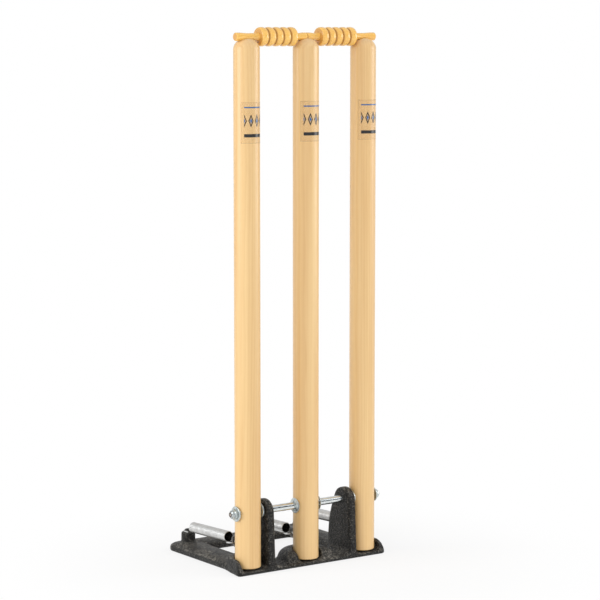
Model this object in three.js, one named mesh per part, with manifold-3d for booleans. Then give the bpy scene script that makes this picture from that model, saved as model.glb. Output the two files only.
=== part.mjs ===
// Spring-back cricket stumps: three wooden stumps hinged on one steel rod over a cast iron base, each pulled
// upright by its own extension spring, with two bails lying in the grooves of the stump tops.
// Millimetres, +Z up, X along the row of stumps, +Y to the rear. The origin is on the ground, under the
// middle stump.
import * as THREE from "three";
import { mergeVertices } from "three/addons/utils/BufferGeometryUtils.js";
import Module from "manifold-3d";

const wasm = await Module();
wasm.setup();

// Fits shared by all pieces
const seatGap = 0.3;
const boreClearance = 0.3;
const cutOverrun = 6;

// Stumps
const stumpHeight = 712;
const stumpDiameter = 35;
const stumpSpacing = 95;
const stumpSides = 24;
const domeHeight = 15;
const domeRings = 5;
const footChamfer = 1;

// Hinge rod, nuts and washers
const rodHeight = 81.5;
const rodDiameter = 10;
const rodEndDiameter = 8;
const rodStandout = 1.5;
const rodChamfer = 1;
const nutAcrossFlats = 13;
const nutHeight = 6.5;
const nutChamfer = 1;
const washerDiameter = 20.5;
const washerThickness = 2;
const earWasherThickness = 3;
const retainerThickness = 1.6;
const roundSides = 20;

// Base casting: plate under the stumps, domed bars round an open window
const plateThickness = 5;
const plateRearReach = 30;
const footRunGap = 0.6;
const frontReach = 19.5;
const rearReach = 176;
const sideReach = 19;
const sideBarWidth = 45;
const rearBarWidth = 40;
const barHeight = 13;
const barSideHeight = 6;
const barDomeSteps = 6;
const barCornerSquareness = 3.2;
const barCornerSides = 32;

// Cups round the stump feet, open to the front
const cupHeight = 20.5;
const cupSideClearance = 1.4;
const cupLipHeight = 3;
const cupFrontSetback = 5.5;
const cupFrontRound = 19;
const cupCornerRound = 7;
const middleCupWidth = 78;
const middleCupShoulder = 14;
const outerCupWall = 9.5;
const outerCupShoulder = 5;
const outerCupRearReach = 34;
const cupArcSteps = 12;

// Ears that carry the rod
const earThickness = 12.4;
const earHeadRadius = 18.2;
const earHeadDrop = 2.8;
const earHeadSetback = 2.8;
const earShoulderDrop = 16.1;
const earShoulderRear = 27.9;
const earWaistDrop = 34;
const earWaistRear = 32.8;
const earFrontDrop = 46;
const earFootRear = 35.5;
const earFootFlare = 4;
const earEdgeRound = 2;
const earFilletRadius = 12;

// Posts with pegs that hold the rear loops of the springs
const postInset = 27.5;
const postDiameter = 19;
const postTopHeight = 28;
const postEdgeRound = 1.5;
const postFootDiameter = 25;
const postFootHeight = 5;
const pegDiameter = 9;
const pegHeight = 4;

// Springs and the screw eyes that they hook into
const springDiameter = 15;
const springWire = 2.2;
const springCurls = 30;
const curlSteps = 8;
const wireSides = 5;
const loopTurnShare = 0.79;
const loopSteps = 12;
const rearLoopStretch = 6;
const eyeHeight = 37;
const eyeReach = 12.8;
const eyeBoreRadius = 5.5;
const eyeWire = 3;
const eyeShankDepth = 16;

// Bails
const bailMiddleClearance = 2.5;
const bailOuterClearance = 0.5;
const bailTipStandout = 0.5;
const bailBarrelDiameter = 25.4;
const bailBeads = 5;
const bailGrooveWidth = 2;
const bailGrooveDepth = 1.6;
const bailBeadRound = 2.2;
const bailEndRound = 2.5;
const bailSpigotDiameter = 11;
const bailWaistDiameter = 10;
const bailSpigotSink = 4.85;
const bailEndGap = 0.5;
const bailTipRound = 1;
const bailSides = 16;

// Film labels round the stump fronts
const labelHeight = 53.5;
const labelTopDrop = 84;
const labelWidth = 38;
const labelThickness = 0.3;
const labelSteps = 10;

// Places and radii worked out from the sizes above
const stumpRadius = stumpDiameter / 2;
const rodRadius = rodDiameter / 2;
const rodEndRadius = rodEndDiameter / 2;
const swingReach = rodHeight - plateThickness - footRunGap;
const footDrop = Math.sqrt(swingReach ** 2 - stumpRadius ** 2);
const stumpFootHeight = rodHeight - footDrop;
const shoulderHeight = stumpHeight - domeHeight;
const bailAxisHeight = stumpHeight - bailSpigotSink + bailSpigotDiameter / 2;
const baseHalfWidth = stumpSpacing + sideReach;
const barAxisX = baseHalfWidth - sideBarWidth / 2;
const rearBarAxisY = rearReach - rearBarWidth / 2;
const postReach = rearReach - postInset;
const cupSlotRadius = stumpRadius + cupSideClearance;
const cupSlotY = stumpRadius + seatGap - cupSlotRadius;
const earOuterX = stumpSpacing - stumpRadius - seatGap - earWasherThickness - seatGap;
const earInnerX = earOuterX - earThickness;
const outerWasherX = stumpSpacing + stumpRadius + seatGap;
const nutInnerX = outerWasherX + washerThickness + seatGap;
const pegRadius = pegDiameter / 2;
const wireRadius = springWire / 2;
const springPitchRadius = springDiameter / 2 - wireRadius;
const eyeCentreY = stumpRadius + eyeReach;
const hookSeat = eyeBoreRadius - wireRadius - seatGap;
const hookOffset = hookSeat * Math.SQRT1_2;
const stumpXs = [-stumpSpacing, 0, stumpSpacing];
const sideNames = ["left", "middle", "right"];

// Materials
const paint = (color, roughness, metalness) =>
  new THREE.MeshStandardMaterial({ color, roughness, metalness });
const wood = () => paint(0xe8c48c, 0.45, 0);
const bailWood = () => paint(0xe2ad5f, 0.35, 0);
const castIron = () => paint(0x2b2a29, 0.6, 0.2);
const zinc = () => paint(0xc4ccd2, 0.3, 1);
const darkSteel = () => paint(0x5a5a5c, 0.4, 1);
const film = () => paint(0xdfc190, 0.15, 0);

// Booleans: a closed geometry becomes a solid, and a solid becomes a geometry again
function solidOf(geometry) {
  const plain = geometry.clone();
  plain.deleteAttribute("normal");
  plain.deleteAttribute("uv");
  const merged = mergeVertices(plain, stumpDiameter * 1e-6);
  const corners = merged.index.array;
  const kept = [];
  for (let i = 0; i < corners.length; i += 3) {
    const [a, b, c] = [corners[i], corners[i + 1], corners[i + 2]];
    if (a !== b && b !== c && c !== a) kept.push(a, b, c);
  }
  const vertProperties = new Float32Array(merged.attributes.position.array);
  const build = (triVerts) => new wasm.Manifold(new wasm.Mesh({ numProp: 3, vertProperties, triVerts }));
  const solid = build(new Uint32Array(kept));
  return solid.volume() > 0 ? solid : build(new Uint32Array(kept.reverse()));
}

function geometryOf(solid) {
  const mesh = solid.getMesh();
  const geometry = new THREE.BufferGeometry();
  geometry.setAttribute("position", new THREE.BufferAttribute(new Float32Array(mesh.vertProperties), 3));
  geometry.setIndex(new THREE.BufferAttribute(new Uint32Array(mesh.triVerts), 1));
  geometry.computeVertexNormals();
  return geometry;
}

const joined = (solids) => solids.reduce((whole, solid) => whole.add(solid));

// Basic shapes, each turned to the axis that it lies on
const latheZ = (profile, sides) =>
  new THREE.LatheGeometry(profile.map(([r, z]) => new THREE.Vector2(r, z)), sides).rotateX(Math.PI / 2);

const latheX = (profile, sides) =>
  new THREE.LatheGeometry(profile.map(([r, x]) => new THREE.Vector2(r, x)), sides).rotateZ(-Math.PI / 2);

const cylinderX = (radius, length, sides) =>
  new THREE.CylinderGeometry(radius, radius, length, sides).rotateZ(Math.PI / 2);

const cylinderY = (radius, length, sides) => new THREE.CylinderGeometry(radius, radius, length, sides);

function boxBetween([x0, y0, z0], [x1, y1, z1]) {
  const box = new THREE.BoxGeometry(x1 - x0, y1 - y0, z1 - z0);
  return box.translate((x0 + x1) / 2, (y0 + y1) / 2, (z0 + z1) / 2);
}

// A closed outline in Y and Z pushed along X from x0 to x1, with an optional rounded edge
function prismX(outline, x0, x1, edge = 0) {
  const shape = new THREE.Shape(outline.map(([y, z]) => new THREE.Vector2(y, z)));
  const geometry = new THREE.ExtrudeGeometry(shape, {
    depth: x1 - x0 - 2 * edge,
    bevelEnabled: edge > 0,
    bevelSize: edge,
    bevelThickness: edge,
    bevelOffset: -edge,
    bevelSegments: 2,
  });
  const turn = new THREE.Matrix4().makeBasis(
    new THREE.Vector3(0, 1, 0),
    new THREE.Vector3(0, 0, 1),
    new THREE.Vector3(1, 0, 0),
  );
  return geometry.applyMatrix4(turn).translate(x0 + edge, 0, 0);
}

const arc = (cx, cy, rx, ry, from, to, steps) =>
  Array.from({ length: steps + 1 }, (_, i) => {
    const angle = from + ((to - from) * i) / steps;
    return [cx + rx * Math.cos(angle), cy + ry * Math.sin(angle)];
  });

// Stump: a turned round with a domed top, bored for the rod and the screw eye and grooved for the bails
function stump(x) {
  const dome = arc(0, shoulderHeight, stumpRadius, domeHeight, 0, Math.PI / 2, domeRings);
  const body = solidOf(
    latheZ(
      [
        [0, stumpFootHeight],
        [stumpRadius - footChamfer, stumpFootHeight],
        [stumpRadius, stumpFootHeight + footChamfer],
        ...dome.slice(0, -1),
        [0, stumpHeight],
      ],
      stumpSides,
    ),
  );
  const through = stumpDiameter + 2 * cutOverrun;
  const bore = cylinderX(rodRadius + boreClearance, through, roundSides).translate(0, 0, rodHeight);
  const groove = cylinderX(bailSpigotDiameter / 2 + seatGap, through, roundSides);
  groove.translate(0, 0, bailAxisHeight);
  const pilotDepth = eyeShankDepth + seatGap;
  const pilot = cylinderY(eyeWire / 2 + boreClearance, pilotDepth + cutOverrun, curlSteps);
  pilot.translate(0, stumpRadius - pilotDepth + (pilotDepth + cutOverrun) / 2, eyeHeight);
  const cuts = joined([bore, groove, pilot].map(solidOf));
  return geometryOf(body.subtract(cuts)).translate(x, 0, 0);
}

// Screw eye: a ring across the row and a shank in the back of the stump
function screwEye(x) {
  const ringRadius = eyeBoreRadius + eyeWire / 2;
  const ring = new THREE.TorusGeometry(ringRadius, eyeWire / 2, curlSteps, roundSides).rotateY(Math.PI / 2);
  ring.translate(0, eyeCentreY, eyeHeight);
  const shankFrom = stumpRadius - eyeShankDepth;
  const shankTo = eyeCentreY - ringRadius;
  const shank = cylinderY(eyeWire / 2, shankTo - shankFrom, curlSteps);
  shank.translate(0, (shankFrom + shankTo) / 2, eyeHeight);
  return geometryOf(solidOf(ring).add(solidOf(shank))).translate(x, 0, 0);
}

// Label: a thin film bent round the front of the stump
function label(x) {
  const inner = stumpRadius + seatGap;
  const outer = inner + labelThickness;
  const half = labelWidth / 2 / outer;
  const middle = -Math.PI / 2;
  const outline = [
    ...arc(0, 0, outer, outer, middle - half, middle + half, labelSteps),
    ...arc(0, 0, inner, inner, middle + half, middle - half, labelSteps),
  ];
  const shape = new THREE.Shape(outline.map(([px, py]) => new THREE.Vector2(px, py)));
  const geometry = new THREE.ExtrudeGeometry(shape, { depth: labelHeight, bevelEnabled: false });
  return geometry.translate(x, 0, stumpHeight - labelTopDrop - labelHeight);
}

// Bail: turned between the inner end over the middle stump and the tip past the outer stump
function bail(side) {
  const spigot = bailSpigotDiameter / 2;
  const waist = bailWaistDiameter / 2;
  const barrel = bailBarrelDiameter / 2;
  const innerEnd = bailEndGap / 2;
  const barrelFrom = stumpRadius + bailMiddleClearance;
  const barrelTo = stumpSpacing - stumpRadius - bailOuterClearance;
  const tip = stumpSpacing + stumpRadius + bailTipStandout;
  const pitch = (barrelTo - barrelFrom + bailGrooveWidth) / bailBeads;
  const beads = Array.from({ length: bailBeads }, (_, i) => {
    const from = barrelFrom + i * pitch;
    const to = from + pitch - bailGrooveWidth;
    const startRound = i === 0 ? bailEndRound : bailBeadRound;
    const endRound = i === bailBeads - 1 ? bailEndRound : bailBeadRound;
    const floor = barrel - bailGrooveDepth;
    return [
      ...(i === 0 ? [[barrel - startRound, from]] : [[floor, from]]),
      [barrel - startRound * (1 - Math.SQRT1_2), from + startRound * (1 - Math.SQRT1_2)],
      [barrel, from + startRound],
      [barrel, to - endRound],
      [barrel - endRound * (1 - Math.SQRT1_2), to - endRound * (1 - Math.SQRT1_2)],
      ...(i === bailBeads - 1 ? [[barrel - endRound, to]] : [[floor, to]]),
    ];
  }).flat();
  const profile = [
    [0, innerEnd],
    [spigot - bailTipRound, innerEnd],
    [spigot, innerEnd + bailTipRound],
    [spigot, innerEnd + stumpRadius],
    [waist, barrelFrom],
    ...beads,
    [waist, barrelTo],
    [spigot, stumpSpacing],
    [spigot, tip - bailTipRound],
    [spigot - bailTipRound, tip],
    [0, tip],
  ];
  const geometry = latheX(profile, bailSides);
  if (side < 0) geometry.rotateZ(Math.PI);
  return geometryOf(solidOf(geometry)).translate(0, 0, bailAxisHeight);
}

// Bars of the base: two side bars and a rear bar, with a domed corner where they meet
function barFrame() {
  const corners = [-1, 1].map((side) => new THREE.Vector3(side * barAxisX, rearBarAxisY, 0));
  const sideBars = corners.map((corner) => bar(sideBarWidth, new THREE.Vector3(corner.x, 0, 0), corner));
  const domes = corners.map((corner) => barCorner().translate(corner.x, corner.y, 0));
  return [...sideBars, bar(rearBarWidth, ...corners), ...domes].map(solidOf);
}

// Bar: a straight stretch of the domed section
function bar(width, from, to) {
  const dome = arc(0, barSideHeight, width / 2, barHeight - barSideHeight, 0, Math.PI, barDomeSteps);
  const section = [[-width / 2, 0], [width / 2, 0], ...dome];
  const along = to.clone().sub(from).normalize();
  const across = new THREE.Vector3(along.y, -along.x, 0);
  const ring = (end) => section.map(([u, z]) => end.clone().addScaledVector(across, u).setZ(z));
  return sweptGeometry([ring(from), ring(to)]);
}

// Corner of the bars: a turned dome of unit radius, drawn out to a squared oval as wide as the bars
function barCorner() {
  const rise = barHeight - barSideHeight;
  const profile = [[0, 0], [1, 0], ...arc(0, barSideHeight, 1, rise, 0, Math.PI / 2, barDomeSteps / 2)];
  const geometry = latheZ(profile, barCornerSides);
  const places = geometry.attributes.position;
  const power = barCornerSquareness;
  for (let i = 0; i < places.count; i += 1) {
    const angle = Math.atan2(places.getY(i), places.getX(i));
    const oval = Math.abs(Math.cos(angle)) ** power + Math.abs(Math.sin(angle)) ** power;
    const reach = oval ** (-1 / power);
    places.setX(i, (places.getX(i) * reach * sideBarWidth) / 2);
    places.setY(i, (places.getY(i) * reach * rearBarWidth) / 2);
  }
  return geometry;
}

// Skin over rings of points, each ring a closed section, with flat caps
function sweptGeometry(rings) {
  const count = rings[0].length;
  const positions = rings.flat().flatMap((p) => [p.x, p.y, p.z]);
  const index = [];
  for (let r = 0; r < rings.length - 1; r += 1) {
    for (let i = 0; i < count; i += 1) {
      const a = r * count + i;
      const b = r * count + ((i + 1) % count);
      index.push(a, b, b + count, a, b + count, a + count);
    }
  }
  const last = (rings.length - 1) * count;
  for (let i = 1; i < count - 1; i += 1) {
    index.push(0, i + 1, i, last, last + i, last + i + 1);
  }
  const geometry = new THREE.BufferGeometry();
  geometry.setAttribute("position", new THREE.Float32BufferAttribute(positions, 3));
  geometry.setIndex(index);
  return geometry;
}

// Cup: a thick wall with a rounded shoulder, cut back to a quarter round at the front
function cupBody(x, left, right, rear, shoulder) {
  const front = -frontReach - shoulder - cutOverrun;
  const middle = (right - left) / 2;
  const outline = [
    [x - left, front],
    [x + right, front],
    ...arc(x + middle, 0, (left + right) / 2, rear, 0, Math.PI, cupArcSteps),
  ];
  const shape = new THREE.Shape(outline.map(([px, py]) => new THREE.Vector2(px, py)));
  const below = shoulder + cutOverrun;
  const geometry = new THREE.ExtrudeGeometry(shape, {
    depth: cupHeight - shoulder + below,
    bevelEnabled: true,
    bevelSize: shoulder,
    bevelThickness: shoulder,
    bevelOffset: -shoulder,
    bevelSegments: 4,
  });
  geometry.translate(0, 0, -below);
  const round = cupHeight - cupLipHeight;
  const brow = -frontReach + cupFrontSetback + cupFrontRound;
  const face = arc(brow, cupLipHeight, cupFrontRound, round, Math.PI, Math.PI / 2, 5);
  const room = cupHeight + cutOverrun;
  const behind = rear + cutOverrun;
  const lip = [[-frontReach, 0], [-frontReach, cupLipHeight]];
  const side = [...lip, ...face, [brow, room], [behind, room], [behind, 0]];
  const keep = prismX(side, x - left - cutOverrun, x + right + cutOverrun);
  return solidOf(geometry).intersect(solidOf(keep));
}

// Footprint of the cups: a tall block with rounded front corners
function cupFootprint(half) {
  const [cornerX, cornerY] = [half - cupCornerRound, cupCornerRound - frontReach];
  const outline = [
    [half, rearReach],
    [-half, rearReach],
    ...arc(-cornerX, cornerY, cupCornerRound, cupCornerRound, Math.PI, 1.5 * Math.PI, 4),
    ...arc(cornerX, cornerY, cupCornerRound, cupCornerRound, 1.5 * Math.PI, 2 * Math.PI, 4),
  ];
  const shape = new THREE.Shape(outline.map(([px, py]) => new THREE.Vector2(px, py)));
  const depth = cupHeight + cutOverrun;
  return solidOf(new THREE.ExtrudeGeometry(shape, { depth, bevelEnabled: false }));
}

// Slot of a cup: round behind the stump foot and open to the front
function cupSlot(x, innerSide) {
  const top = cupHeight + cutOverrun;
  const height = top - plateThickness;
  const well = new THREE.CylinderGeometry(cupSlotRadius, cupSlotRadius, height, stumpSides);
  well.rotateX(Math.PI / 2).translate(x, cupSlotY, (top + plateThickness) / 2);
  const front = -frontReach - cutOverrun;
  const mouth = boxBetween([x - cupSlotRadius, front, plateThickness], [x + cupSlotRadius, cupSlotY, top]);
  const tools = [well, mouth];
  if (innerSide) {
    const toEar = Math.sign(x) * earOuterX;
    const low = Math.min(x, toEar);
    const high = Math.max(x, toEar);
    tools.push(boxBetween([low, front, plateThickness], [high, cupSlotY, top]));
  }
  return joined(tools.map(solidOf));
}

// Ear: an upright with a round head about the rod, wider at the foot, and a fillet on its inner side
function ear(side) {
  const headHeight = rodHeight - earHeadDrop;
  const outline = [
    [-frontReach, 0],
    [earFootRear + earFootFlare, 0],
    [earFootRear, barHeight],
    [earWaistRear, rodHeight - earWaistDrop],
    [earShoulderRear, rodHeight - earShoulderDrop],
    ...arc(earHeadSetback, headHeight, earHeadRadius, earHeadRadius, Math.PI / 9, Math.PI, cupArcSteps),
    [-frontReach + earEdgeRound, rodHeight - earFrontDrop],
  ];
  const [low, high] = side < 0 ? [-earOuterX, -earInnerX] : [earInnerX, earOuterX];
  const upright = solidOf(prismX(outline, low, high, earEdgeRound));
  return upright.add(earFillet(side));
}

// Fillet between an ear's inner face and the plate, hollowed to a quarter round
function earFillet(side) {
  const face = side * (earInnerX + earEdgeRound);
  const foot = side * (earInnerX - earFilletRadius);
  const block = boxBetween(
    [Math.min(face, foot), -frontReach + earEdgeRound, 0],
    [Math.max(face, foot), plateRearReach - earEdgeRound, plateThickness + earFilletRadius],
  );
  const length = plateRearReach + frontReach + 2 * cutOverrun;
  const hollow = cylinderY(earFilletRadius, length, roundSides);
  hollow.translate(foot, (plateRearReach - frontReach) / 2, plateThickness + earFilletRadius);
  return solidOf(block).subtract(solidOf(hollow));
}

// Post: a flared boss on the bars with a peg that the spring's rear loop drops over
function post(x) {
  const foot = barSideHeight;
  const radius = postDiameter / 2;
  return solidOf(
    latheZ(
      [
        [0, foot],
        [postFootDiameter / 2, foot],
        [postFootDiameter / 2, barHeight - postFootHeight / 2],
        [radius + postFootHeight / 4, barHeight + postFootHeight / 4],
        [radius, barHeight + postFootHeight],
        [radius, postTopHeight - postEdgeRound],
        [radius - postEdgeRound, postTopHeight],
        [pegRadius, postTopHeight],
        [pegRadius, postTopHeight + pegHeight - postEdgeRound],
        [pegRadius - postEdgeRound, postTopHeight + pegHeight],
        [0, postTopHeight + pegHeight],
      ],
      roundSides,
    ).translate(x, postReach, 0),
  );
}

function baseCasting() {
  const plate = boxBetween(
    [-baseHalfWidth, -frontReach, 0],
    [baseHalfWidth, plateRearReach, plateThickness],
  );
  const middleHalf = middleCupWidth / 2;
  const wallReach = cupSlotRadius + outerCupWall;
  const earReach = stumpSpacing - earOuterX;
  const cups = [
    cupBody(-stumpSpacing, wallReach, earReach, outerCupRearReach, outerCupShoulder),
    cupBody(0, middleHalf, middleHalf, middleHalf, middleCupShoulder),
    cupBody(stumpSpacing, earReach, wallReach, outerCupRearReach, outerCupShoulder),
  ];
  const cupBlock = joined(cups).intersect(cupFootprint(stumpSpacing + wallReach));
  const slots = joined([cupSlot(-stumpSpacing, true), cupSlot(0, false), cupSlot(stumpSpacing, true)]);
  const bore = cylinderX(rodRadius + boreClearance, 2 * stumpSpacing, roundSides).translate(0, 0, rodHeight);
  const solids = [solidOf(plate), ...barFrame(), cupBlock, ear(-1), ear(1), ...stumpXs.map(post)];
  return geometryOf(joined(solids).subtract(slots).subtract(solidOf(bore)));
}

// Hinge rod: turned down beyond the outer stumps for the outer washers and the nuts, with chamfered ends
function axleRod() {
  const half = nutInnerX + nutHeight + rodStandout;
  const shoulder = stumpSpacing + stumpRadius;
  const profile = [
    [0, -half],
    [rodEndRadius - rodChamfer, -half],
    [rodEndRadius, -half + rodChamfer],
    [rodEndRadius, -shoulder],
    [rodRadius, -shoulder],
    [rodRadius, shoulder],
    [rodEndRadius, shoulder],
    [rodEndRadius, half - rodChamfer],
    [rodEndRadius - rodChamfer, half],
    [0, half],
  ];
  return geometryOf(solidOf(latheX(profile, roundSides))).translate(0, 0, rodHeight);
}

// Washer on a stretch of the rod of this radius, its inner face at x
function washer(x, thickness, onRadius) {
  const bore = onRadius + boreClearance;
  const rim = washerDiameter / 2;
  const profile = [[bore, 0], [rim, 0], [rim, thickness], [bore, thickness], [bore, 0]];
  const geometry = latheX(profile, roundSides);
  if (x < 0) geometry.rotateZ(Math.PI);
  return geometryOf(solidOf(geometry)).translate(x, 0, rodHeight);
}

// Nut on the rod, with its corners turned off on both faces
function hexNut(side) {
  const corner = nutAcrossFlats / Math.sqrt(3);
  const hex = cylinderX(corner, nutHeight, 6);
  const half = nutHeight / 2;
  const turned = latheX(
    [
      [0, -half],
      [corner - nutChamfer, -half],
      [corner + nutChamfer, -half + nutChamfer],
      [corner + nutChamfer, half - nutChamfer],
      [corner - nutChamfer, half],
      [0, half],
    ],
    roundSides,
  );
  const bore = cylinderX(rodEndRadius + boreClearance, nutHeight + cutOverrun, roundSides);
  const solid = solidOf(hex).intersect(solidOf(turned)).subtract(solidOf(bore));
  return geometryOf(solid).translate(side * (nutInnerX + half), 0, rodHeight);
}

// Spring: one wire from the free end of the front loop, through the curls, to the free end of the rear loop.
// It is drawn along Y with the loops flat at the bottom of the coil, and hangs between the eye and the peg.
const hookPoint = { y: eyeCentreY + hookOffset, z: eyeHeight - hookOffset };
const pegPoint = { y: postReach + pegRadius + seatGap + wireRadius, z: postTopHeight + seatGap + wireRadius };
const springReach = Math.hypot(pegPoint.y - hookPoint.y, hookPoint.z - pegPoint.z);
const springTilt = Math.atan2(hookPoint.z - pegPoint.z, pegPoint.y - hookPoint.y);
const coilLength = springReach - 4 * springPitchRadius - rearLoopStretch;

function springPath() {
  const radius = springPitchRadius;
  const loopAngle = 2 * Math.PI * loopTurnShare;
  const path = [];
  for (let i = 0; i < loopSteps; i += 1) {
    const angle = -loopAngle * (1 - i / loopSteps);
    path.push(new THREE.Vector3(radius * Math.sin(angle), -radius + radius * Math.cos(angle), -radius));
  }
  const steps = springCurls * curlSteps;
  for (let i = 0; i <= steps; i += 1) {
    const angle = (2 * Math.PI * i) / curlSteps;
    const y = (coilLength * i) / steps;
    path.push(new THREE.Vector3(radius * Math.sin(angle), y, -radius * Math.cos(angle)));
  }
  for (let i = 1; i <= loopSteps; i += 1) {
    const angle = (loopAngle * i) / loopSteps;
    const drawnOut = Math.abs(angle - Math.PI) < Math.PI / 2 ? rearLoopStretch : 0;
    const y = coilLength + radius - radius * Math.cos(angle) + drawnOut;
    path.push(new THREE.Vector3(radius * Math.sin(angle), y, -radius));
  }
  const beyond = (end, next) => end.clone().sub(next).setLength(springWire).add(end);
  path.unshift(beyond(path[0], path[1]));
  path.push(beyond(path[path.length - 1], path[path.length - 2]));
  return path;
}

// Round wire along a path, its section carried along without twist
function wireGeometry(path, radius, sides) {
  const tangentAt = (i) => {
    const before = path[Math.max(i - 1, 0)];
    const after = path[Math.min(i + 1, path.length - 1)];
    return after.clone().sub(before).normalize();
  };
  let tangent = tangentAt(0);
  let normal = new THREE.Vector3(0, 0, 1).cross(tangent).normalize();
  const rings = path.map((point, i) => {
    const next = tangentAt(i);
    normal.applyQuaternion(new THREE.Quaternion().setFromUnitVectors(tangent, next));
    tangent = next;
    const across = tangent.clone().cross(normal);
    return Array.from({ length: sides }, (_, k) => {
      const angle = (2 * Math.PI * k) / sides;
      const out = normal.clone().multiplyScalar(radius * Math.cos(angle));
      return out.addScaledVector(across, radius * Math.sin(angle)).add(point);
    });
  });
  return sweptGeometry(rings);
}

// Least gap of the wire to itself, on points more than half a curl apart along it
function leastGap(path) {
  const apart = curlSteps / 2 + 1;
  let least = Infinity;
  for (let i = 0; i < path.length; i += 1) {
    for (let j = i + apart; j < path.length; j += 1) {
      least = Math.min(least, path[i].distanceTo(path[j]));
    }
  }
  return least - springWire;
}

function springGeometry() {
  const path = springPath();
  console.log("least gap of a spring's wire to itself: " + leastGap(path).toFixed(2) + " mm");
  return geometryOf(solidOf(wireGeometry(path, wireRadius, wireSides)));
}

// The spring's bottom line runs from the hook point to the peg point
function placeSpring(mesh, x) {
  const lead = 2 * springPitchRadius;
  const up = springPitchRadius;
  mesh.rotation.x = -springTilt;
  mesh.position.set(
    x,
    hookPoint.y + lead * Math.cos(springTilt) + up * Math.sin(springTilt),
    hookPoint.z - lead * Math.sin(springTilt) + up * Math.cos(springTilt),
  );
  return mesh;
}

// Assembly
const named = (name, geometry, material) => {
  const mesh = new THREE.Mesh(geometry, material);
  mesh.name = name;
  return mesh;
};

function stumpGroup(x, name) {
  const group = new THREE.Group();
  group.add(named("stump_" + name, stump(x), wood()));
  group.add(named("screw_eye_" + name, screwEye(x), darkSteel()));
  group.add(named("label_" + name, label(x), film()));
  return group;
}

function axleGroup() {
  const group = new THREE.Group();
  group.add(named("axle_rod", axleRod(), zinc()));
  for (const [side, name] of [[-1, "left"], [1, "right"]]) {
    const earWasherX = earOuterX + seatGap;
    const retainerX = stumpRadius + seatGap;
    group.add(named("axle_nut_" + name, hexNut(side), zinc()));
    const outer = washer(side * outerWasherX, washerThickness, rodEndRadius);
    const inner = washer(side * earWasherX, earWasherThickness, rodRadius);
    const retainer = washer(side * retainerX, retainerThickness, rodRadius);
    group.add(named("outer_washer_" + name, outer, zinc()));
    group.add(named("ear_washer_" + name, inner, zinc()));
    group.add(named("retaining_washer_" + name, retainer, zinc()));
  }
  return group;
}

const wicket = new THREE.Group();
wicket.add(named("base_casting", baseCasting(), castIron()));
wicket.add(axleGroup());
const coil = springGeometry();
stumpXs.forEach((x, i) => {
  wicket.add(stumpGroup(x, sideNames[i]));
  wicket.add(placeSpring(named("spring_" + sideNames[i], coil, zinc()), x));
});
wicket.add(named("bail_left", bail(-1), bailWood()));
wicket.add(named("bail_right", bail(1), bailWood()));

export default wicket;
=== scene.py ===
import math
import bmesh
import bpy
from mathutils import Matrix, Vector


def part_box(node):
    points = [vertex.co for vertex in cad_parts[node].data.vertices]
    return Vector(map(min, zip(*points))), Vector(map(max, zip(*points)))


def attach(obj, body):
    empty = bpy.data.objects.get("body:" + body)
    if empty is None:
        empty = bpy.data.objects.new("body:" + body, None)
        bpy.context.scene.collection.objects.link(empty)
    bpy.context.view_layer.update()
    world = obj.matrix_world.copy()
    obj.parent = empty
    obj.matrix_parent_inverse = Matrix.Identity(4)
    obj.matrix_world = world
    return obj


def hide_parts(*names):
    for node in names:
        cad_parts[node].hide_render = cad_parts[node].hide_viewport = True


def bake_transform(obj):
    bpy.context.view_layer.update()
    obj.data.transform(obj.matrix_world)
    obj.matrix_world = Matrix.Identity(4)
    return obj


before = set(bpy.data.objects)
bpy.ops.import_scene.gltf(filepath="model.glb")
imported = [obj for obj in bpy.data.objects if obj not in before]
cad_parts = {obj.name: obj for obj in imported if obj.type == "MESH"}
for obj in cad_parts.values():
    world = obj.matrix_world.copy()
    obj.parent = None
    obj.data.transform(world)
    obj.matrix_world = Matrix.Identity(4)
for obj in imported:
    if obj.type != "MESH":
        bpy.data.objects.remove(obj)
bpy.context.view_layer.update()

MM = 0.001
SIDES = ("left", "middle", "right")
OUTER = {"left": -1, "right": 1}


def middle_of(node):
    low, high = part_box(node)
    return (low + high) / 2


# Sizes read from the frame
STUMP_X = {side: middle_of("stump_" + side).x for side in SIDES}
STUMP_LOW, STUMP_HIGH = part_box("stump_middle")
STUMP_RADIUS = (STUMP_HIGH.x - STUMP_LOW.x) / 2
ROD_LOW, ROD_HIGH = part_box("axle_rod")
ROD_Z = middle_of("axle_rod").z
ROD_RADIUS = (ROD_HIGH.z - ROD_LOW.z) / 2
BASE_LOW, BASE_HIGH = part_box("base_casting")
BAIL_Z = middle_of("bail_left").z
EYE_LOW, EYE_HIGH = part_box("screw_eye_middle")
EYE_Z = middle_of("screw_eye_middle").z

# Sizes shared by several pieces
BORE_GAP = 0.3 * MM
ROD_END_RADIUS = 4 * MM
SPIGOT_RADIUS = 5.5 * MM
EYE_WIRE_RADIUS = 1.5 * MM
EYE_RING_RADIUS = (EYE_HIGH.z - EYE_LOW.z) / 2 - EYE_WIRE_RADIUS
EYE_Y = EYE_HIGH.y - EYE_WIRE_RADIUS - EYE_RING_RADIUS
POST_Y = 148.5 * MM
POST_TOP = 28 * MM
PEG_RADIUS = 4.5 * MM

# Camera that stands where the photograph was taken
CAMERA_PLACE = Vector((-1.7517, -2.4624, 0.7243))
CAMERA_YAW = math.radians(35.2795)
CAMERA_PITCH = math.radians(6.8617)
FOCAL_PIXELS = 2262.2
PICTURE_PIXELS = 600
SENSOR_MM = 36

# Reach within which a face or an edge counts as lying at a place
NEAR = 0.1 * MM


# Modelling helpers


def deselect():
    if bpy.context.mode != "OBJECT":
        bpy.ops.object.mode_set(mode="OBJECT")
    bpy.ops.object.select_all(action="DESELECT")


def activate(piece):
    deselect()
    piece.select_set(True)
    bpy.context.view_layer.objects.active = piece


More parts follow.
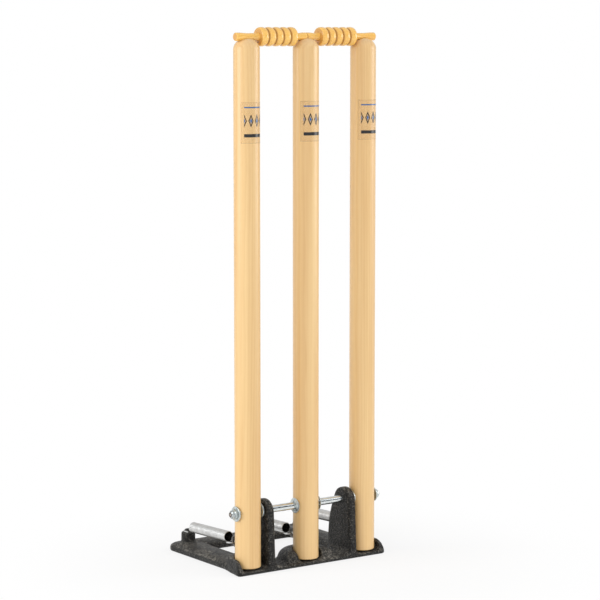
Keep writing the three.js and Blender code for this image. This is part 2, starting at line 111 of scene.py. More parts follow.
def settle(piece):
    """Puts the piece's place into its mesh, so that its object sits at the origin."""
    activate(piece)
    bpy.ops.object.transform_apply(location=True, rotation=True, scale=True)
    return piece


def add(primitive, name, **where):
    """Adds a primitive at its size and place, with nothing else selected."""
    deselect()
    primitive(**where)
    piece = bpy.context.active_object
    piece.name = name
    piece.data.name = name
    return settle(piece)


def move(piece, x=0.0, y=0.0, z=0.0):
    piece.location = (x, y, z)
    return settle(piece)


def turn(piece, x=0.0, y=0.0, z=0.0):
    piece.rotation_euler = (x, y, z)
    return settle(piece)


def edit(piece):
    activate(piece)
    bpy.ops.object.mode_set(mode="EDIT")
    bpy.context.tool_settings.mesh_select_mode = (True, False, False)


def done():
    bpy.ops.object.mode_set(mode="OBJECT")


def pick(kind, test):
    """In edit mode, selects the verts, edges or faces that the test is true of."""
    bpy.ops.mesh.select_all(action="DESELECT")
    modes = {"verts": (True, False, False), "edges": (False, True, False), "faces": (False, False, True)}
    bpy.context.tool_settings.mesh_select_mode = modes[kind]
    shape = bpy.context.edit_object.data
    mesh = bmesh.from_edit_mesh(shape)
    mesh.normal_update()
    for part in getattr(mesh, kind):
        part.select_set(test(part))
    mesh.select_flush_mode()
    bmesh.update_edit_mesh(shape)


def centre(part):
    points = [v.co for v in part.verts]
    return sum(points, Vector()) / len(points)


def push(x=0.0, y=0.0, z=0.0):
    """Extrudes what is selected."""
    bpy.ops.mesh.extrude_region_move(TRANSFORM_OT_translate={"value": (x, y, z)})


def shift(x=0.0, y=0.0, z=0.0):
    """Moves what is selected."""
    bpy.ops.transform.translate(value=(x, y, z))


def stretch(about, x=1.0, y=1.0, z=1.0):
    """Scales what is selected about a point."""
    bpy.ops.transform.resize(value=(x, y, z), center_override=about)


def modify(piece, kind, **settings):
    """Adds a modifier with these settings and applies it."""
    activate(piece)
    modifier = piece.modifiers.new(kind.lower(), kind)
    for key, value in settings.items():
        setattr(modifier, key, value)
    bpy.ops.object.modifier_apply(modifier=modifier.name)
    return piece


def combine(piece, other, operation):
    """Joins, cuts or keeps the piece with another solid, which is used up."""
    modify(piece, "BOOLEAN", object=other, operation=operation, solver="EXACT")
    bpy.data.objects.remove(other, do_unlink=True)
    return piece


def cut(piece, *tools):
    for tool in tools:
        combine(piece, tool, "DIFFERENCE")
    return piece


def join(piece, *others):
    """Makes one mesh object of several."""
    activate(piece)
    for other in others:
        other.select_set(True)
    bpy.ops.object.join()
    return piece


def outward(piece, merge=0.01 * MM):
    """Merges doubles and turns every face outwards."""
    edit(piece)
    bpy.ops.mesh.select_all(action="SELECT")
    bpy.ops.mesh.remove_doubles(threshold=merge)
    bpy.ops.mesh.normals_make_consistent(inside=False)
    done()
    return piece


def smooth(piece, degrees=30):
    activate(piece)
    bpy.ops.object.shade_smooth_by_angle(angle=math.radians(degrees))
    return piece


def soften(piece, width, degrees):
    """Rounds the edges that are sharper than this angle."""
    angle = math.radians(degrees)
    return modify(piece, "BEVEL", width=width, segments=2, limit_method="ANGLE", angle_limit=angle)


def copy_of(piece, name):
    twin = piece.copy()
    twin.data = piece.data.copy()
    twin.name = name
    twin.data.name = name
    bpy.context.scene.collection.objects.link(twin)
    return twin


def one_each(pattern, name, sides=SIDES):
    """Pairs of a side and its piece, called name_side: copies of the pattern, which is used up."""
    pieces = [(side, copy_of(pattern, name + "_" + side)) for side in sides]
    bpy.data.objects.remove(pattern, do_unlink=True)
    return pieces


def mirrored(piece):
    """A copy on the other side of the middle stump."""
    twin = copy_of(piece, piece.name)
    twin.scale = (-1, 1, 1)
    return outward(settle(twin))


def arc(middle, radii, start, end, steps):
    """Points of a stretch of an ellipse, with angles in degrees."""
    points = []
    for step in range(steps + 1):
        angle = math.radians(start + (end - start) * step / steps)
        points.append((middle[0] + radii[0] * math.cos(angle), middle[1] + radii[1] * math.sin(angle)))
    return points


def turned(name, profile, sides=64, ring=False):
    """A shape turned along Z: a disc, or a loop for a ring, pushed on through (radius, height)."""
    radius, height = profile[0]
    piece = add(
        bpy.ops.mesh.primitive_circle_add, name, vertices=sides, radius=radius,
        fill_type="NOTHING" if ring else "NGON", location=(0, 0, height),
    )
    edit(piece)
    bpy.ops.mesh.select_all(action="SELECT")
    stations = [*profile[1:], profile[0]] if ring else profile[1:]
    for next_radius, next_height in stations:
        push(z=next_height - height)
        share = next_radius / radius
        stretch((0, 0, next_height), share, share)
        radius, height = next_radius, next_height
    done()
    return outward(piece)


def lie_along_x(piece, z, x=0.0, way=1):
    """Lays a piece that was turned along Z down along X, its top to the right, or left with way -1."""
    turn(piece, y=way * math.pi / 2)
    return move(piece, x=x, z=z)


def drill_x(radius, reach, z):
    """Tool for a bore along X that reaches as far to both sides of the middle stump."""
    return add(
        bpy.ops.mesh.primitive_cylinder_add, "tool", vertices=64, radius=radius,
        depth=2 * reach, location=(0, 0, z), rotation=(0, math.pi / 2, 0),
    )


def block(low, high, name="tool"):
    """A cube brought to the box between two corners."""
    low, high = Vector(low), Vector(high)
    return add(bpy.ops.mesh.primitive_cube_add, name, size=1, location=(low + high) / 2, scale=high - low)


def drawn(name, points):
    """A line drawn point by point: one corner of a plane, pushed on from each point to the next."""
    half = MM
    corner = Vector((-half, -half, 0))
    piece = add(bpy.ops.mesh.primitive_plane_add, name, size=2 * half)
    edit(piece)
    pick("verts", lambda v: (v.co - corner).length > half)
    bpy.ops.mesh.delete(type="VERT")
    pick("verts", lambda v: True)
    shift(*(Vector(points[0]) - corner))
    for before, after in zip(points, points[1:]):
        step = Vector(after) - Vector(before)
        bpy.ops.mesh.extrude_vertices_move(TRANSFORM_OT_translate={"value": step})
    done()
    return piece


def wire(name, points, radius, sides_quarter=3):
    """Round wire along points, as a mesh with closed ends."""
    data = bpy.data.curves.new(name, "CURVE")
    data.dimensions = "3D"
    data.bevel_depth = radius
    data.bevel_resolution = sides_quarter
    data.use_fill_caps = True
    spline = data.splines.new("POLY")
    spline.points.add(len(points) - 1)
    for point, place in zip(spline.points, points):
        point.co = (*place, 1)
    piece = bpy.data.objects.new(name, data)
    bpy.context.scene.collection.objects.link(piece)
    activate(piece)
    bpy.ops.object.convert(target="MESH")
    piece = bpy.context.active_object
    return smooth(outward(piece), 50)


def finish_piece(piece, material, body, node):
    """Gives a piece its material and its body, and hides the part of model.glb that it stands for."""
    piece.data.materials.clear()
    piece.data.materials.append(material)
    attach(piece, body)
    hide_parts(node)


# Shader helpers


class Nodes:
    """Short calls that add and link the nodes of one tree."""

    def __init__(self, tree):
        self.tree = tree

    def new(self, kind):
        return self.tree.nodes.new("ShaderNode" + kind)

    def put(self, socket, value):
        if isinstance(value, bpy.types.NodeSocket):
            self.tree.links.new(value, socket)
        else:
            socket.default_value = value

    def fill(self, node, values):
        for key, value in values.items():
            self.put(node.inputs[key], value)
        return node

    def math(self, operation, a, b=0.0, c=0.0, clamp=False):
        node = self.new("Math")
        node.operation = operation
        node.use_clamp = clamp
        return self.fill(node, {0: a, 1: b, 2: c}).outputs[0]

    def length(self, vector):
        node = self.new("VectorMath")
        node.operation = "LENGTH"
        return self.fill(node, {0: vector}).outputs["Value"]

    def dot(self, vector, other):
        node = self.new("VectorMath")
        node.operation = "DOT_PRODUCT"
        return self.fill(node, {0: vector, 1: other}).outputs["Value"]

    def times(self, vector, scale):
        node = self.new("VectorMath")
        node.operation = "MULTIPLY"
        return self.fill(node, {0: vector, 1: scale}).outputs["Vector"]

    def noise(self, vector, scale, detail=3.0, roughness=0.5):
        values = {"Vector": vector, "Scale": scale, "Detail": detail, "Roughness": roughness}
        return self.fill(self.new("TexNoise"), values).outputs["Fac"]

    def ramp(self, value, low, high, to_low=0.0, to_high=1.0):
        """Maps low..high of a value to to_low..to_high, eased and clamped."""
        node = self.new("MapRange")
        node.interpolation_type = "SMOOTHSTEP"
        values = {"Value": value, "From Min": low, "From Max": high, "To Min": to_low, "To Max": to_high}
        return self.fill(node, values).outputs["Result"]

    def mix(self, factor, a, b):
        node = self.new("Mix")
        node.data_type = "RGBA"
        return self.fill(node, {0: factor, 6: a, 7: b}).outputs[2]

    def placed(self, vector, location=(0, 0, 0), rotation=(0, 0, 0)):
        values = {"Vector": vector, "Location": location, "Rotation": rotation}
        return self.fill(self.new("Mapping"), values).outputs[0]

    def split(self, vector):
        return self.fill(self.new("SeparateXYZ"), {0: vector}).outputs

    def merge(self, x, y, z):
        return self.fill(self.new("CombineXYZ"), {0: x, 1: y, 2: z}).outputs[0]


def new_group(name, inputs, outputs=(("Color", "Color"), ("Roughness", "Float"), ("Height", "Float"))):
    """A new node group: its nodes, its inputs and the sockets that its results go to."""
    tree = bpy.data.node_groups.new(name, "ShaderNodeTree")
    for label, kind, default in inputs:
        socket = tree.interface.new_socket(label, in_out="INPUT", socket_type="NodeSocket" + kind)
        if default is not None:
            socket.default_value = default
    for label, kind in outputs:
        tree.interface.new_socket(label, in_out="OUTPUT", socket_type="NodeSocket" + kind)
    entry = tree.nodes.new("NodeGroupInput").outputs
    leave = tree.nodes.new("NodeGroupOutput").inputs
    return Nodes(tree), entry, leave


# Surface groups that several materials use


def wood_grain_group():
    """Straight grain along Z: rings round a distant pith, fine fibres and slow changes of tone."""
    nodes, entry, leave = new_group("wood grain", [
        ("Vector", "Vector", None), ("Light", "Color", None), ("Dark", "Color", None),
        ("End Grain", "Color", None), ("Facing End", "Float", 0.0), ("Ring Width", "Float", 4 * MM),
    ])
    point = entry["Vector"]
    wander = nodes.noise(nodes.times(point, (30, 30, 2.4)), 1.0, 3.0)
    x, y, _ = nodes.split(point)
    pith = nodes.merge(nodes.math("ADD", x, 75 * MM), nodes.math("ADD", y, 60 * MM), 0.0)
    warped = nodes.math("MULTIPLY_ADD", wander, 16 * MM, nodes.length(pith))
    phase = nodes.math("FRACT", nodes.math("DIVIDE", warped, entry["Ring Width"]))
    rings = nodes.math("MULTIPLY", nodes.ramp(phase, 0.2, 0.95), nodes.ramp(phase, 1.0, 0.92))
    fibres = nodes.noise(nodes.times(point, (900, 900, 9)), 1.0, 3.0, 0.6)
    streaks = nodes.noise(nodes.times(point, (130, 130, 2.4)), 1.0, 3.0, 0.6)
    tone = nodes.noise(nodes.times(point, (45, 45, 3)), 1.0, 1.0)
    shade = nodes.math("MULTIPLY_ADD", rings, 0.18, nodes.math("MULTIPLY", streaks, 0.65))
    shade = nodes.math("MULTIPLY_ADD", nodes.math("SUBTRACT", fibres, 0.5), 0.4, shade)
    shade = nodes.math("MULTIPLY_ADD", nodes.math("SUBTRACT", tone, 0.5), 0.9, shade, clamp=True)
    side = nodes.mix(shade, entry["Light"], entry["Dark"])
    end = nodes.mix(nodes.math("MULTIPLY", shade, 0.5), entry["End Grain"], entry["Dark"])
    nodes.put(leave["Color"], nodes.mix(entry["Facing End"], side, end))
    pores = nodes.ramp(fibres, 0.6, 0.78)
    nodes.put(leave["Roughness"], nodes.math("MULTIPLY_ADD", pores, 0.15, nodes.math("MULTIPLY", tone, 0.08)))
    nodes.put(leave["Height"], nodes.math("MULTIPLY_ADD", rings, 0.25, nodes.math("MULTIPLY", pores, -0.8)))
    return nodes.tree


def cast_skin_group():
    """Enamel over sand-cast iron: lumps, sand, brown-grey rubbed patches on what faces up, and painted
    highlights: light specks on the sand, stronger on what faces up, and sparse glints.
    """
    nodes, entry, leave = new_group("cast skin", [
        ("Vector", "Vector", None), ("Enamel", "Color", None),
        ("Rubbed", "Color", None), ("Facing Up", "Float", 0.0),
    ])
    point = entry["Vector"]
    swell = nodes.noise(point, 90.0, 2.0)
    sand = nodes.noise(point, 360.0, 3.0, 0.7)
    patches = nodes.noise(point, 36.0, 5.0, 0.65)
    up = nodes.ramp(entry["Facing Up"], 0.1, 0.8)
    worn = nodes.math("MULTIPLY", nodes.ramp(patches, 0.38, 0.62), up)
    peaks = nodes.ramp(sand, 0.49, 0.57)
    # painted highlights: light specks on the sand's peaks, stronger on what faces up, stand in for the
    # highlights that the bumps would catch
    highlight_speckle = nodes.math("MULTIPLY", peaks, nodes.math("MULTIPLY_ADD", up, 0.3, 0.1))
    # painted highlights: sparse bright glints
    painted_glints = nodes.ramp(nodes.noise(point, 520.0, 1.0), 0.6, 0.68)
    grit = nodes.math("MULTIPLY_ADD", peaks, 0.8, 0.2)
    shown = nodes.math("MAXIMUM", nodes.math("MULTIPLY", worn, grit), highlight_speckle)
    shown = nodes.math("MULTIPLY_ADD", painted_glints, 0.5, shown)
    # one colour serves the rubbed wear and the painted highlight specks and glints
    nodes.put(leave["Color"], nodes.mix(shown, entry["Enamel"], entry["Rubbed"]))
    rough = nodes.math("MULTIPLY_ADD", swell, 0.25, 0.26)
    nodes.put(leave["Roughness"], nodes.math("MULTIPLY_ADD", worn, 0.15, rough))
    nodes.put(leave["Height"], nodes.math("MULTIPLY_ADD", swell, 0.8, sand))
    return nodes.tree


def plating_group():
    """Plated steel: faint streaks, dull clouds and a changing gloss."""
    nodes, entry, leave = new_group("plating", [
        ("Vector", "Vector", None), ("Bright", "Color", None), ("Dull", "Color", None),
        ("Gloss", "Float", 0.2), ("Streaks", "Vector", None),
    ])
    point = entry["Vector"]
    streaks = nodes.noise(nodes.times(point, entry["Streaks"]), 1.0, 4.0, 0.6)
    clouds = nodes.noise(point, 160.0, 3.0, 0.6)
    mottled = nodes.math("MULTIPLY_ADD", clouds, 0.7, nodes.math("MULTIPLY", streaks, 0.3))
    dull = nodes.ramp(mottled, 0.35, 0.7)
    nodes.put(leave["Color"], nodes.mix(dull, entry["Bright"], entry["Dull"]))
    rough = nodes.math("MULTIPLY_ADD", dull, 0.14, entry["Gloss"])
    nodes.put(leave["Roughness"], nodes.math("MULTIPLY_ADD", streaks, 0.06, rough))
    nodes.put(leave["Height"], nodes.math("MULTIPLY_ADD", streaks, 0.5, nodes.math("MULTIPLY", clouds, 0.5)))
    return nodes.tree


# Materials


def new_material(name):
    made = bpy.data.materials.new(name)
    made.use_nodes = True
    nodes = Nodes(made.node_tree)
    return made, nodes, made.node_tree.nodes["Principled BSDF"], nodes.new("TexCoord").outputs


def dress(nodes, shader, tree, bump, depth, **inputs):
    """Places a surface group in a material and links its colour, roughness and height."""
    skin = nodes.new("Group")
    skin.node_tree = tree
    nodes.fill(skin, {key.replace("_", " "): value for key, value in inputs.items()})
    nodes.put(shader.inputs["Base Color"], skin.outputs["Color"])
    nodes.put(shader.inputs["Roughness"], skin.outputs["Roughness"])
    relief = nodes.new("Bump")
    nodes.fill(relief, {"Strength": bump, "Distance": depth, "Height": skin.outputs["Height"]})
    nodes.put(shader.inputs["Normal"], relief.outputs["Normal"])
    return skin


def stump_wood(side, grain):
    """Pale ash under satin varnish; each stump comes from another place in the board."""
    made, nodes, shader, where = new_material("stump wood " + side)
    spin, lift = {"left": (0.4, 0.0), "middle": (2.3, 1.7), "right": (4.2, 3.1)}[side]
    centred = nodes.placed(where["Object"], location=(-STUMP_X[side], 0, 0))
    point = nodes.placed(centred, location=(0, 0, lift), rotation=(0, 0, spin))
    up = nodes.split(where["Normal"])[2]
    skin = dress(
        nodes, shader, grain, 0.35, 0.2 * MM, Vector=point,
        Light=(0.83, 0.58, 0.275, 1), Dark=(0.66, 0.38, 0.14, 1), End_Grain=(0.80, 0.55, 0.28, 1),
        Facing_End=nodes.ramp(up, 0.25, 0.85), Ring_Width=4.2 * MM,
    )
    nodes.put(shader.inputs["Roughness"], nodes.math("ADD", skin.outputs["Roughness"], 0.34))
    shader.inputs["Coat Weight"].default_value = 0.35
    shader.inputs["Coat Roughness"].default_value = 0.22
    return made


def bail_wood(side, grain):
    """Orange-yellow ash under gloss varnish, with painted shade darkening the grooves between the beads."""
    made, nodes, shader, where = new_material("bail wood " + side)
    low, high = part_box("bail_" + side)
    barrel_radius = (high.z - low.z) / 2
    lift = {"left": 0.3, "right": 1.9}[side]
    x, y, z = nodes.split(nodes.placed(where["Object"], location=(0, 0, -BAIL_Z)))
    radius = nodes.length(nodes.merge(0.0, y, z))
    reach = nodes.math("ABSOLUTE", x)
    deep = nodes.ramp(radius, barrel_radius - 0.5 * MM, barrel_radius - 2.0 * MM)
    outer_face = STUMP_X["right"] - STUMP_RADIUS
    inside = nodes.ramp(reach, STUMP_RADIUS + 5 * MM, STUMP_RADIUS + 8 * MM)
    outside = nodes.ramp(reach, outer_face - 3 * MM, outer_face - 6 * MM)
    on_barrel = nodes.math("MULTIPLY", inside, outside)
    # painted shade: a mask over the bottoms of the grooves between the beads
    groove = nodes.math("MULTIPLY", nodes.math("MULTIPLY", deep, on_barrel), 0.6)
    ends = nodes.math("ABSOLUTE", nodes.split(where["Normal"])[0])
    skin = dress(
        nodes, shader, grain, 0.3, 0.2 * MM, Vector=nodes.merge(z, y, nodes.math("ADD", x, lift)),
        Light=(0.97, 0.60, 0.15, 1), Dark=(0.80, 0.41, 0.07, 1), End_Grain=(0.64, 0.33, 0.08, 1),
        Facing_End=nodes.ramp(ends, 0.75, 0.95), Ring_Width=3.4 * MM,
    )
    # painted shade: the grooves are mixed towards dark brown
    nodes.put(shader.inputs["Base Color"], nodes.mix(groove, skin.outputs["Color"], (0.34, 0.12, 0.02, 1)))
    nodes.put(shader.inputs["Roughness"], nodes.math("ADD", skin.outputs["Roughness"], 0.22))
    shader.inputs["Coat Weight"].default_value = 0.6
    shader.inputs["Coat Roughness"].default_value = 0.1
    return made


def base_enamel():
    made, nodes, shader, where = new_material("black enamel on cast iron")
    dress(
        nodes, shader, cast_skin_group(), 1.0, 2.4 * MM, Vector=where["Object"],
        # the second colour is for the rubbed wear and for the painted highlight specks and glints
        Enamel=(0.004, 0.0038, 0.0034, 1), Rubbed=(0.21, 0.197, 0.172, 1),
        Facing_Up=nodes.split(where["Normal"])[2],
    )
    shader.inputs["Specular IOR Level"].default_value = 0.26
    return made


def plated(name, plating, bright, dull, gloss, streaks, bump=0.12):
    made, nodes, shader, where = new_material(name)
    dress(
        nodes, shader, plating, bump, 0.15 * MM, Vector=where["Object"],
        Bright=bright, Dull=dull, Gloss=gloss, Streaks=streaks,
    )
    shader.inputs["Metallic"].default_value = 1.0
    return made


def spring_wire(plating):
    """Grey plated wire, with painted shade on the side that faces the inside of the coil."""
    bright, dull = (0.72, 0.72, 0.71, 1), (0.60, 0.60, 0.59, 1)
    made = plated("spring wire", plating, bright, dull, 0.34, (90, 90, 90), 0.05)
    nodes = Nodes(made.node_tree)
    shader = made.node_tree.nodes["Principled BSDF"]
    skin = shader.inputs["Base Color"].links[0].from_socket
    from_axis = nodes.split(nodes.new("TexCoord").outputs["UV"])[0]
    # painted shade: near black on the side of the wire that faces the coil's axis
    inside = nodes.ramp(from_axis, 1.0, 0.95)
    nodes.put(shader.inputs["Base Color"], nodes.mix(inside, skin, (0.02, 0.019, 0.018, 1)))
    return made


def rod_steel(plating):
    """Zinc plate on the rod; its two cut ends are unplated and brown, with painted shade in a dark ring round
    each end's rim.
    """
    bright, dull = (0.80, 0.83, 0.82, 1), (0.62, 0.66, 0.67, 1)
    made = plated("zinc plate on the rod", plating, bright, dull, 0.1, (60, 900, 900), 0.04)
    nodes = Nodes(made.node_tree)
    shader = made.node_tree.nodes["Principled BSDF"]
    skin = shader.inputs["Base Color"].links[0].from_socket
    x, y, z = nodes.split(nodes.placed(nodes.new("TexCoord").outputs["Object"], location=(0, 0, -ROD_Z)))
    cut_end = nodes.ramp(nodes.math("ABSOLUTE", x), ROD_HIGH.x - 0.3 * MM, ROD_HIGH.x - 0.05 * MM)
    # painted shade: a dark ring round the rim of each cut end, around a centre of unplated brown steel
    rim = nodes.ramp(nodes.length(nodes.merge(0.0, y, z)), 1.6 * MM, 2.4 * MM)
    bare_end_and_rim_shade = nodes.mix(rim, (0.42, 0.36, 0.31, 1), (0.07, 0.06, 0.055, 1))
    nodes.put(shader.inputs["Base Color"], nodes.mix(cut_end, skin, bare_end_and_rim_shade))
    return made


def between(nodes, value, low, high, soft=0.004):
    """1 where the value lies from low to high, with edges a hair wide."""
    rise = nodes.ramp(value, low - soft, low + soft)
    return nodes.math("MULTIPLY", rise, nodes.ramp(value, high + soft, high - soft))


def label_film():
    """Clear film with a plain row of lozenges between two stripes; only the print is solid."""
    made, nodes, shader, where = new_material("label film")
    u, v, _ = nodes.split(where["UV"])
    column = nodes.math("FRACT", nodes.math("MULTIPLY", u, 4.0))
    across = nodes.math("ABSOLUTE", nodes.math("SUBTRACT", column, 0.5))
    up = nodes.math("ABSOLUTE", nodes.math("SUBTRACT", v, 0.55))
    lozenge = nodes.math("MULTIPLY_ADD", up, 2.4, across)
    printed = between(nodes, u, 0.125, 0.875)
    black = nodes.math("MAXIMUM", between(nodes, lozenge, 0.24, 0.38), between(nodes, v, 0.15, 0.23))
    blue = nodes.math("MAXIMUM", between(nodes, lozenge, -0.1, 0.16), between(nodes, v, 0.86, 0.89))
    black = nodes.math("MULTIPLY", black, printed)
    blue = nodes.math("MULTIPLY", blue, printed)
    tint = nodes.mix(blue, (0.62, 0.45, 0.25, 1), (0.035, 0.13, 0.34, 1))
    nodes.put(shader.inputs["Base Color"], nodes.mix(black, tint, (0.012, 0.012, 0.014, 1)))
    from_side = nodes.math("MINIMUM", u, nodes.math("SUBTRACT", 1.0, u))
    from_end = nodes.math("MINIMUM", v, nodes.math("SUBTRACT", 1.0, v))
    rim = nodes.ramp(nodes.math("MINIMUM", from_side, from_end), 0.02, 0.0, 0.06, 0.22)
    solid = nodes.math("MAXIMUM", black, blue)
    nodes.put(shader.inputs["Alpha"], nodes.math("MAXIMUM", rim, solid, clamp=True))
    shader.inputs["Roughness"].default_value = 0.22
    return made


# Stumps


def make_stumps(grain):
    """Turned rounds with a domed top, bored for the rod and the eye and grooved for the bails."""
    foot, top = STUMP_LOW.z, STUMP_HIGH.z
    dome_height = 15 * MM
    foot_round = 1.2 * MM
    shoulder = top - dome_height
    pole_share = 0.02
    profile = [
        *arc((STUMP_RADIUS - foot_round, foot + foot_round), (foot_round, foot_round), -90, 0, 4),
        (STUMP_RADIUS, (foot + top) / 2),
        *arc((0, shoulder), (STUMP_RADIUS, dome_height), 0, 90, 18)[:-1],
        (STUMP_RADIUS * pole_share, top),
    ]
    pattern = turned("stump", profile, sides=96)
    reach = 2 * STUMP_RADIUS
    pilot_from = EYE_LOW.y - BORE_GAP
    pilot = add(
        bpy.ops.mesh.primitive_cylinder_add, "tool", vertices=24, radius=EYE_WIRE_RADIUS + BORE_GAP,
        depth=reach, location=(0, pilot_from + reach / 2, EYE_Z), rotation=(math.pi / 2, 0, 0),
    )
    bore = drill_x(ROD_RADIUS + BORE_GAP, reach, ROD_Z)
    groove = drill_x(SPIGOT_RADIUS + BORE_GAP, reach, BAIL_Z)
    smooth(cut(pattern, bore, groove, pilot), 32)
    for side, piece in one_each(pattern, "wooden_stump"):
        move(piece, x=STUMP_X[side])
        finish_piece(piece, stump_wood(side, grain), side + "_stump", "stump_" + side)


# Bails


def bead(low, high, crown, floor, steps=8):
    """Profile of one turned bead from groove to groove: (radius, place) along the bail."""
    half = (high - low) / 2
    return [
        (floor + (crown - floor) * (1 - abs(u) ** 3.4) ** 0.6, low + half * (1 + u))
        for u in (math.sin(math.pi * (step / steps - 0.5)) for step in range(steps + 1))
    ]


def make_bails(grain):
    """Turned from the short spigot over the middle stump to the long one past the outer stump."""
    low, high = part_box("bail_right")
    crown = (high.z - low.z) / 2
    inner, tip = low.x, high.x
    spacing = STUMP_X["right"]
    barrel_from = STUMP_RADIUS + 2.5 * MM
    barrel_to = spacing - STUMP_RADIUS - 0.5 * MM
    beads, gap = 5, 1.6 * MM
    pitch = (barrel_to - barrel_from + gap) / beads
    floor = crown - 2.3 * MM
    waist = SPIGOT_RADIUS - 0.7 * MM
    short_end, short_waist = inner + 6 * MM, inner + 12 * MM
    long_waist, long_end = barrel_to + 7 * MM, spacing + 11 * MM
    tip_round = 0.8 * MM
    profile = [
        (SPIGOT_RADIUS - tip_round, inner), (SPIGOT_RADIUS, inner + tip_round),
        (SPIGOT_RADIUS, short_end), (waist, short_waist), (SPIGOT_RADIUS, barrel_from),
    ]
    for index in range(beads):
        start = barrel_from + index * pitch
        profile += bead(start, start + pitch - gap, crown, floor)
    profile += [
        (SPIGOT_RADIUS, barrel_to), (waist, long_waist), (waist, spacing), (SPIGOT_RADIUS, long_end),
        (SPIGOT_RADIUS, tip - tip_round), (SPIGOT_RADIUS - tip_round, tip),
    ]
    pattern = smooth(turned("bail", profile), 40)
    for side, piece in one_each(pattern, "turned_bail", OUTER):
        lie_along_x(piece, BAIL_Z, way=OUTER[side])
        finish_piece(piece, bail_wood(side, grain), side + "_bail", "bail_" + side)


# Base casting

BAR_TOP = 13 * MM
BAR_SIDE = 6 * MM
SIDE_BAR_X = 91.5 * MM
SIDE_BAR_HALF = 22.5 * MM
REAR_BAR_HALF = 20 * MM
REAR_BAR_Y = BASE_HIGH.y - REAR_BAR_HALF
CORNER_ROUND = 14 * MM
PLATE_TOP = 5 * MM
PLATE_REAR = 30 * MM
CUP_TOP = 20.5 * MM
CUP_NOSE = 18 * MM
CUP_NOSE_Y = BASE_LOW.y + 5.5 * MM
CUP_DRAWN_FORWARD = 4 * MM
SLOT_RADIUS = STUMP_RADIUS + 1.4 * MM
SLOT_Y = STUMP_RADIUS + BORE_GAP - SLOT_RADIUS
EAR_INNER = 61.5 * MM
EAR_OUTER = 73.9 * MM
MELT_LOSS = 0.5 * MM


def bar(half, start, run):
    """Straight bar: a disc flattened to a D section and pushed along."""
    piece = add(
        bpy.ops.mesh.primitive_circle_add, "bar", vertices=32, radius=half, fill_type="NGON",
        location=(start[0], start[1], BAR_SIDE), rotation=(math.pi / 2, 0, math.atan2(run[0], run[1])),
    )
    edit(piece)
    bpy.ops.mesh.select_all(action="SELECT")
    stretch((0, 0, BAR_SIDE), z=(BAR_TOP - BAR_SIDE) / half)
    pick("verts", lambda v: v.co.z < BAR_SIDE - NEAR)
    stretch((0, 0, 0), z=0)
    pick("faces", lambda f: True)
    push(*run)
    done()
    return outward(piece)


def bar_corner():
    """Right corner of the bars: a plane with rounded corners, pushed up and drawn in to a dome."""
    middle = (SIDE_BAR_X, REAR_BAR_Y, 0)
    piece = add(bpy.ops.mesh.primitive_plane_add, "corner", size=2 * SIDE_BAR_HALF, location=middle)
    edit(piece)
    bpy.ops.mesh.select_all(action="SELECT")
    stretch(middle, y=REAR_BAR_HALF / SIDE_BAR_HALF)
    bpy.ops.mesh.bevel(offset=CORNER_ROUND, segments=10, affect="VERTICES")
    bpy.ops.mesh.select_all(action="SELECT")
    share, height = 1, 0
    for next_share, next_height in arc((0, BAR_SIDE), (1, BAR_TOP - BAR_SIDE), 0, 84, 10):
        push(z=next_height - height)
        stretch((SIDE_BAR_X, REAR_BAR_Y, next_height), next_share / share, next_share / share)
        share, height = next_share, next_height
    done()
    return outward(piece)


def base_plate():
    """Strip under the stumps, its front corners drawn out to the cups' outer walls and rounded."""
    edge = SIDE_BAR_X + SIDE_BAR_HALF
    flare = BASE_HIGH.x - edge
    corner_round = 7 * MM
    piece = block((-edge, BASE_LOW.y, 0), (edge, PLATE_REAR, PLATE_TOP), "plate")
    edit(piece)
    for way in OUTER.values():
        pick("verts", lambda v: v.co.y < 0 and way * v.co.x > 0)
        shift(x=way * flare)
    pick("edges", lambda e: abs(e.verts[0].co.z - e.verts[1].co.z) > NEAR and centre(e).y < 0)
    bpy.ops.mesh.bevel(offset=corner_round, segments=5, affect="EDGES")
    done()
    return piece


def cup(x, to_left, to_right, rear, shoulder, flared=False):
    """A thick wall round a stump foot: a rounded drum, cut in half and pushed out to the front.

    The right wall of a flared cup spreads to its foot and to the front."""
    half = (to_left + to_right) / 2
    middle = x + (to_right - to_left) / 2
    piece = add(
        bpy.ops.mesh.primitive_cylinder_add, "cup", vertices=48, radius=1, depth=CUP_TOP,
        location=(middle, 0, CUP_TOP / 2), scale=(half, rear, 1),
    )
    edit(piece)
    pick("edges", lambda e: centre(e).z > CUP_TOP - NEAR)
    bpy.ops.mesh.bevel(offset=shoulder, segments=6, affect="EDGES")
    bpy.ops.mesh.select_all(action="SELECT")
    bpy.ops.mesh.bisect(plane_co=(0, 0, 0), plane_no=(0, 1, 0), use_fill=True, clear_inner=True)
    pick("faces", lambda f: f.normal.y < -0.9)
    push(y=CUP_NOSE_Y)
    if flared:
        foot_spread, front_spread = 1.5 * MM, 3.5 * MM
        pick("verts", lambda v: v.co.x - middle > half / 2 and v.co.z < NEAR)
        shift(x=foot_spread)
        pick("verts", lambda v: v.co.x - middle > half / 2 and v.co.y < CUP_NOSE_Y + NEAR)
        shift(x=front_spread, y=-CUP_DRAWN_FORWARD)
    done()
    return combine(outward(piece), cup_nose(middle, half, rear, flared), "INTERSECT")


def cup_nose(x, half, rear, flared):
    """What a cup keeps: a block with a quarter-round front edge, drawn forward on a flared side."""
    reach, spare = half + 8 * MM, 2 * MM
    low = (x - reach, CUP_NOSE_Y, -spare)
    high = (x + reach, rear + spare, CUP_TOP + NEAR)
    piece = block(low, high)
    edit(piece)
    pick("edges", lambda e: centre(e).z > CUP_TOP and centre(e).y < CUP_NOSE_Y + NEAR)
    bpy.ops.mesh.bevel(offset=CUP_NOSE, segments=10, affect="EDGES")
    if flared:
        pick("verts", lambda v: v.co.x > x and v.co.y < rear)
        shift(y=-CUP_DRAWN_FORWARD)
    done()
    return piece


